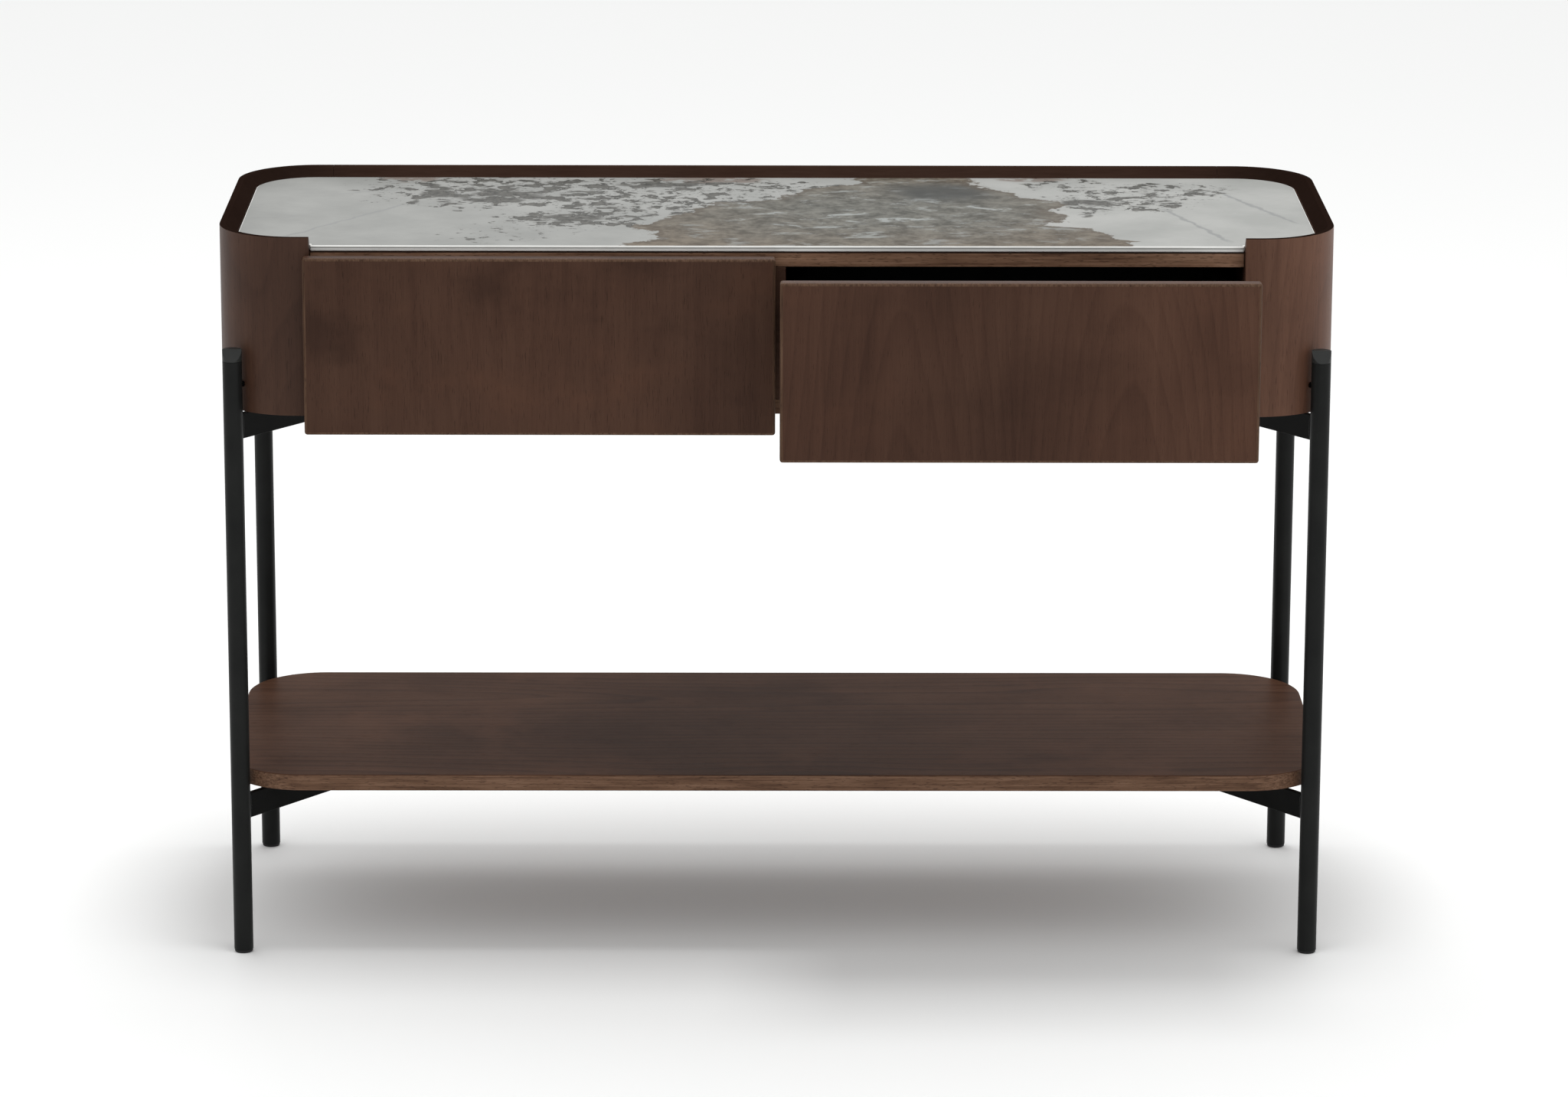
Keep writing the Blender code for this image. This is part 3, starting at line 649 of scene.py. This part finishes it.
# Painted light: a paler copy of the same coat for the caps, whose sloped tops face the light.
CAP_STEEL_PAINTED_LIGHT = powder_coat("satin_black_caps_painted_light", tone=3.4, gloss=0.16)
RIM_WITH_PAINTED_SHADE = walnut_rim_with_painted_shade("walnut_rim_with_painted_shade")
SIDE_BOARD = charcoal_board("charcoal_board_sides", "Y")
END_BOARD = charcoal_board("charcoal_board_ends", "X")
ZINC = zinc_plate("zinc_plated_steel")
BLACK_ZINC = zinc_plate("black_zinc_steel", tone=0.03)
NYLON = nylon("black_nylon")

BODIES = frame["record"]["behaviour"]["bodies"]
BODY_OF = {node: body for body, members in BODIES.items() for node in members}


# ---------------------------------------------------------------- pieces
SMOOTH_BELOW_DEG = 40.0
EASED_OVER_DEG = 30.0
FLAT_WITHIN_DEG = 0.6
SAME_POINT = 0.00002
BACK_JOINT_REACH = 0.001

# How wide each kind of piece has its edges eased, in metres.
SHELL_EDGE = 0.0008
BOARD_EDGE = 0.0006
INNER_BOARD_EDGE = 0.0005
SLAB_EDGE = 0.0011
SHELF_EDGE = 0.0022
TUBE_EDGE = 0.0003
CAP_EDGE = 0.0006
BOLT_EDGE = 0.0004
BRACE_EDGE = 0.0008
PLATE_EDGE = 0.0004
BLOCK_EDGE = 0.001
BOX_EDGE = 0.0008
BOX_FLOOR_EDGE = 0.0003
SLIDE_EDGE = 0.00025


def finished(name, bm, surfaces, body, replaced=()):
    """Makes a bmesh, already in place, a piece that rides on a body."""
    mesh = bpy.data.meshes.new(name)
    bm.to_mesh(mesh)
    bm.free()
    for surface in surfaces:
        mesh.materials.append(surface)
    mesh.shade_smooth()
    mesh.set_sharp_from_angle(angle=math.radians(SMOOTH_BELOW_DEG))
    piece = bpy.data.objects.new(name, mesh)
    bpy.context.scene.collection.objects.link(piece)
    normals = piece.modifiers.new("even_shading", "WEIGHTED_NORMAL")
    normals.keep_sharp = True
    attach(piece, body)
    if replaced:
        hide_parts(*replaced)


def solid_of(node):
    """A clean copy of a CAD node: its triangles joined, and its flat faces made one each."""
    bm = bmesh.new()
    bm.from_mesh(frame["nodes"][node].data)
    bmesh.ops.remove_doubles(bm, verts=bm.verts, dist=SAME_POINT)
    bmesh.ops.dissolve_limit(
        bm, angle_limit=math.radians(FLAT_WITHIN_DEG), verts=bm.verts, edges=bm.edges
    )
    return bm


def ease(bm, width, segments=2, spared=None):
    """Rounds every edge that turns sharply, leaving out the spared ones."""
    sharp = math.radians(EASED_OVER_DEG)
    edges = [e for e in bm.edges if len(e.link_faces) == 2 and e.calc_face_angle() > sharp]
    if spared:
        edges = [e for e in edges if not spared(e)]
    bmesh.ops.bevel(
        bm,
        geom=edges,
        offset=width,
        offset_type="OFFSET",
        affect="EDGES",
        segments=segments,
        profile=0.5,
        clamp_overlap=True,
        material=-1,
    )


def dress(node, surface, width, segments=2):
    """Replaces a CAD node by the same solid with its edges eased."""
    bm = solid_of(node)
    ease(bm, width, segments)
    finished(f"{node}_finished", bm, [surface], BODY_OF[node], [node])


def at_back_joint(edge):
    """Whether an edge lies where the back panel meets an end shell. That joint stays tight."""
    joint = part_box("back_panel")[1].x
    return all(
        abs(abs(vert.co.x) - joint) < BACK_JOINT_REACH and vert.co.y > TABLE_MIDDLE_Y
        for vert in edge.verts
    )


def make_cabinet():
    for node in ("left_end_shell", "right_end_shell", "back_panel"):
        bm = solid_of(node)
        ease(bm, SHELL_EDGE, spared=at_back_joint)
        # Up-facing faces take the rim, with its painted shade at the ends.
        for face in bm.faces:
            face.material_index = 1 if face.normal.z > 0.5 else 0
        finished(f"{node}_finished", bm, [SHELL_VENEER, RIM_WITH_PAINTED_SHADE], "table", [node])
    # The top board's nosing carries painted light.
    for node, nosing in (("top_board", RAIL_PAINTED_LIGHT), ("bottom_board", LIPPING)):
        bm = solid_of(node)
        ease(bm, BOARD_EDGE)
        for face in bm.faces:
            face.material_index = 1 if face.normal.y < -0.7 else 0
        finished(f"{node}_finished", bm, [BOARD_VENEER, nosing], "table", [node])
    for node in ("centre_divider", "left_partition", "right_partition"):
        dress(node, BOARD_VENEER, INNER_BOARD_EDGE)


def make_stone():
    bm = solid_of("stone_top")
    ease(bm, SLAB_EDGE)
    for face in bm.faces:
        face.material_index = 0 if face.normal.z > 0.99 else 1
    finished("stone_slab", bm, [STONE, STONE_EDGE], "table", ["stone_top"])


def make_shelf():
    bm = solid_of("shelf")
    ease(bm, SHELF_EDGE, 4)
    for face in bm.faces:
        face.material_index = 1 if abs(face.normal.z) < 0.7 else 0
    finished("shelf_board", bm, [SHELF_VENEER, LIPPING], "table", ["shelf"])


def make_frame():
    for corner in ("front_left", "front_right", "back_left", "back_right"):
        dress(f"{corner}_leg", COATED_STEEL, TUBE_EDGE)
        # The caps wear the painted-light coat.
        dress(f"{corner}_leg_cap", CAP_STEEL_PAINTED_LIGHT, CAP_EDGE, 3)
        dress(f"{corner}_glide", NYLON, TUBE_EDGE)
        dress(f"{corner}_leg_bolt", BLACK_ZINC, BOLT_EDGE)
    for end in ("left", "right"):
        # The braces wear the painted-shade coat.
        dress(f"{end}_upper_brace", BRACE_STEEL_PAINTED_SHADE, BRACE_EDGE, 3)
        dress(f"{end}_lower_brace", BRACE_STEEL_PAINTED_SHADE, BRACE_EDGE, 3)
        dress(f"{end}_brace_plate", BRACE_STEEL_PAINTED_SHADE, PLATE_EDGE)
        dress(f"{end}_shelf_block", NYLON, BLOCK_EDGE)


def make_drawers():
    for side, front in (("left", LEFT_FRONT), ("right", RIGHT_FRONT)):
        node = f"{side}_drawer_front"
        bm = solid_of(node)
        # The rounded edge faces take the painted highlight.
        for face in bm.faces:
            face.material_index = 0 if max(abs(axis) for axis in face.normal) > 0.99 else 1
        finished(f"{node}_finished", bm, [front, FRONT_EDGE_HIGHLIGHT], f"{side}_drawer", [node])
        for wall in ("left_side", "right_side"):
            dress(f"{side}_drawer_{wall}", SIDE_BOARD, BOX_EDGE)
        for wall in ("box_front", "box_back"):
            dress(f"{side}_drawer_{wall}", END_BOARD, BOX_EDGE)
        dress(f"{side}_drawer_floor", END_BOARD, BOX_FLOOR_EDGE)
        for hand in ("left", "right"):
            for member in ("cabinet", "middle", "drawer"):
                slide = f"{side}_drawer_{hand}_slide_{member}_member"
                dress(slide, ZINC, SLIDE_EDGE)


# ---------------------------------------------------------------- fixings and welds
# Half the section of a screw head with its socket: (radius, height).
SCREW_HEAD = (
    (0.0, 0.0008),
    (0.0014, 0.0008),
    (0.0016, 0.0021),
    (0.0027, 0.0019),
    (0.0036, 0.0011),
    (0.0040, 0.0),
    (0.0, 0.0),
)
SCREW_STEPS = 24
SCREW_SAME_POINT = 0.00001
WELD_RADIUS = 0.0016
WELD_STEPS = 10
WELD_RIPPLES = 21
WELD_OFFSET = 0.0036
WELD_END_GAP = 0.001
SCREW_FROM_PAD_EDGE = 0.012
SCREW_PAD_SPACING = 0.034
SCREW_OUTER_HALF = 0.055
SCREW_INNER_HALF = 0.018
FRONT_SCREW_FROM_END = 0.06
FRONT_SCREW_LIFTS = (-0.012, 0.03)


def screw_heads(name, places, direction, body):
    """Low round heads with a socket, each standing on a place and facing a direction."""
    bm = bmesh.new()
    turn = Vector(direction).to_track_quat("Z", "Y").to_matrix().to_4x4()
    for place in places:
        profile = [bm.verts.new((radius, 0, height)) for radius, height in SCREW_HEAD]
        edges = [bm.edges.new(pair) for pair in zip(profile, profile[1:])]
        bmesh.ops.spin(
            bm,
            geom=[*profile, *edges],
            cent=(0, 0, 0),
            axis=(0, 0, 1),
            angle=math.tau,
            steps=SCREW_STEPS,
            use_merge=True,
        )
        fresh = [vert for vert in bm.verts if not vert.tag]
        bmesh.ops.transform(bm, matrix=Matrix.Translation(place) @ turn, verts=fresh)
        for vert in bm.verts:
            vert.tag = True
    bmesh.ops.remove_doubles(bm, verts=bm.verts, dist=SCREW_SAME_POINT)
    bmesh.ops.recalc_face_normals(bm, faces=bm.faces)
    finished(name, bm, [ZINC], body)


def weld_bead(bm, foot, height, seed):
    """A ripple of weld up a corner between a brace's end and its leg."""
    before = len(bm.verts)
    bmesh.ops.create_cone(
        bm,
        cap_ends=True,
        segments=WELD_STEPS,
        radius1=WELD_RADIUS,
        radius2=WELD_RADIUS,
        depth=height,
    )
    bm.verts.ensure_lookup_table()
    fresh = set(bm.verts[before:])
    risers = [
        edge for edge in bm.edges if edge.verts[0] in fresh and edge.calc_length() > height * 0.9
    ]
    bmesh.ops.subdivide_edges(bm, edges=risers, cuts=WELD_RIPPLES)
    bm.verts.ensure_lookup_table()
    for vert in bm.verts[before:]:
        share = vert.co.z / height + 0.5
        taper = math.sin(math.pi * (share * 0.94 + 0.03)) ** 0.35
        swell = 1.0 + 0.13 * math.sin(share * 46.0 + seed)
        swell += 0.06 * math.sin(share * 103.0 + seed * 1.7)
        vert.co.x *= taper * swell
        vert.co.y *= taper * swell
    bmesh.ops.translate(bm, verts=bm.verts[before:], vec=foot + Vector((0, 0, height / 2)))


def make_welds():
    """Two beads where each brace meets a leg."""
    for end in ("left", "right"):
        for level in ("upper", "lower"):
            bm = bmesh.new()
            low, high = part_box(f"{end}_{level}_brace")
            inner_x = low.x if end == "right" else high.x
            fold = Vector((inner_x, TABLE_MIDDLE_Y, 0))
            for along in ("front", "back"):
                leg_low, leg_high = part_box(f"{along}_{end}_leg")
                leg = Vector(((leg_low.x + leg_high.x) / 2, (leg_low.y + leg_high.y) / 2, 0))
                radius = (leg_high.x - leg_low.x) / 2
                inwards = (fold - leg).normalized()
                sideways = Vector((-inwards.y, inwards.x, 0))
                for hand in (-1, 1):
                    foot = leg + inwards * (radius + WELD_RADIUS * 0.25)
                    foot += sideways * hand * WELD_OFFSET
                    foot.z = low.z + WELD_END_GAP
                    weld_bead(bm, foot, high.z - low.z - 2 * WELD_END_GAP, hand + len(along))
            bmesh.ops.recalc_face_normals(bm, faces=bm.faces)
            finished(f"{end}_{level}_brace_welds", bm, [COATED_STEEL], "table")


def make_fixings():
    for end, outwards in (("left", -1), ("right", 1)):
        for pad in ("brace_plate", "shelf_block"):
            low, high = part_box(f"{end}_{pad}")
            outer_x = (high.x if end == "right" else low.x) - outwards * SCREW_FROM_PAD_EDGE
            inner_x = outer_x - outwards * SCREW_PAD_SPACING
            places = []
            for x, half in ((outer_x, SCREW_OUTER_HALF), (inner_x, SCREW_INNER_HALF)):
                places += [(x, TABLE_MIDDLE_Y + y, low.z) for y in (-half, half)]
            screw_heads(f"{end}_{pad}_screws", places, (0, 0, -1), "table")
    for side in ("left", "right"):
        low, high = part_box(f"{side}_drawer_box_front")
        middle = (low.z + high.z) / 2
        columns = (
            low.x + FRONT_SCREW_FROM_END,
            (low.x + high.x) / 2,
            high.x - FRONT_SCREW_FROM_END,
        )
        places = [(x, high.y, middle + lift) for x in columns for lift in FRONT_SCREW_LIFTS]
        screw_heads(f"{side}_drawer_front_screws", places, (0, 1, 0), f"{side}_drawer")


# ---------------------------------------------------------------- studio
CAMERA_PLACE = (-0.038, -6.402, 2.0613)
CAMERA_DOWN_DEG = 14.34
CAMERA_YAW_DEG = 0.42
CAMERA_ROLL_DEG = 0.17
CAMERA_LENS_MM = 137.76
CAMERA_SENSOR_MM = 36.0
CAMERA_CLIP_END = 50.0
FLOOR_HALF = 30.0
PAPER = {
    "Base Color": (0.98, 0.985, 0.98, 1),
    "Roughness": 0.9,
    "Specular IOR Level": 0.0,
}
DOME_AT_HORIZON = 0.66
DOME_SLOPE = (0.13, 0.05, 0.33)


def make_camera():
    data = bpy.data.cameras.new("camera")
    data.lens = CAMERA_LENS_MM
    data.sensor_width = CAMERA_SENSOR_MM
    data.clip_end = CAMERA_CLIP_END
    camera = bpy.data.objects.new("camera", data)
    heading = Matrix.Rotation(math.radians(-CAMERA_YAW_DEG), 4, "Z")
    tilt = Matrix.Rotation(math.radians(90 - CAMERA_DOWN_DEG), 4, "X")
    roll = Matrix.Rotation(math.radians(CAMERA_ROLL_DEG), 4, "Z")
    camera.matrix_world = Matrix.Translation(CAMERA_PLACE) @ heading @ tilt @ roll
    bpy.context.scene.collection.objects.link(camera)
    bpy.context.scene.camera = camera


def make_floor():
    bm = bmesh.new()
    bmesh.ops.create_grid(bm, x_segments=1, y_segments=1, size=FLOOR_HALF)
    mesh = bpy.data.meshes.new("studio_floor")
    bm.to_mesh(mesh)
    bm.free()
    mesh.materials.append(Finish("studio_paper", PAPER).material)
    floor = bpy.data.objects.new("studio_floor", mesh)
    bpy.context.scene.collection.objects.link(floor)


def area_light(name, place, target, width, height, power):
    data = bpy.data.lights.new(name, "AREA")
    data.shape = "RECTANGLE"
    data.size = width
    data.size_y = height
    data.energy = power
    light = bpy.data.objects.new(name, data)
    light.location = place
    light.rotation_euler = (Vector(target) - Vector(place)).to_track_quat("-Z", "Y").to_euler()
    bpy.context.scene.collection.objects.link(light)


def make_light():
    """A white dome, brighter overhead than at the horizon and a little brighter on the right."""
    world = bpy.data.worlds.new("studio_dome")
    world.use_nodes = True
    tree = world.node_tree
    direction = tree.nodes.new("ShaderNodeTexCoord")
    slope = tree.nodes.new("ShaderNodeVectorMath")
    slope.operation = "DOT_PRODUCT"
    slope.inputs[1].default_value = DOME_SLOPE
    strength = tree.nodes.new("ShaderNodeMath")
    strength.operation = "ADD"
    strength.inputs[1].default_value = DOME_AT_HORIZON
    background = tree.nodes["Background"]
    background.inputs["Color"].default_value = (1.0, 1.0, 1.0, 1.0)
    tree.links.new(direction.outputs["Generated"], slope.inputs[0])
    tree.links.new(slope.outputs["Value"], strength.inputs[0])
    tree.links.new(strength.outputs[0], background.inputs["Strength"])
    bpy.context.scene.world = world
    area_light("back_softbox", (-0.2, 1.7, 2.6), (0, 0.0, 0.3), 1.6, 0.8, 10.0)
    area_light("overhead_softbox", (0.1, -0.1, 6.0), (0, -0.1, 0.0), 1.8, 1.1, 88.0)
    bpy.context.scene.view_settings.view_transform = "Standard"
    bpy.context.scene.view_settings.look = "None"


make_camera()
make_floor()
make_light()
make_cabinet()
make_stone()
make_shelf()
make_frame()
make_drawers()
make_welds()
make_fixings()
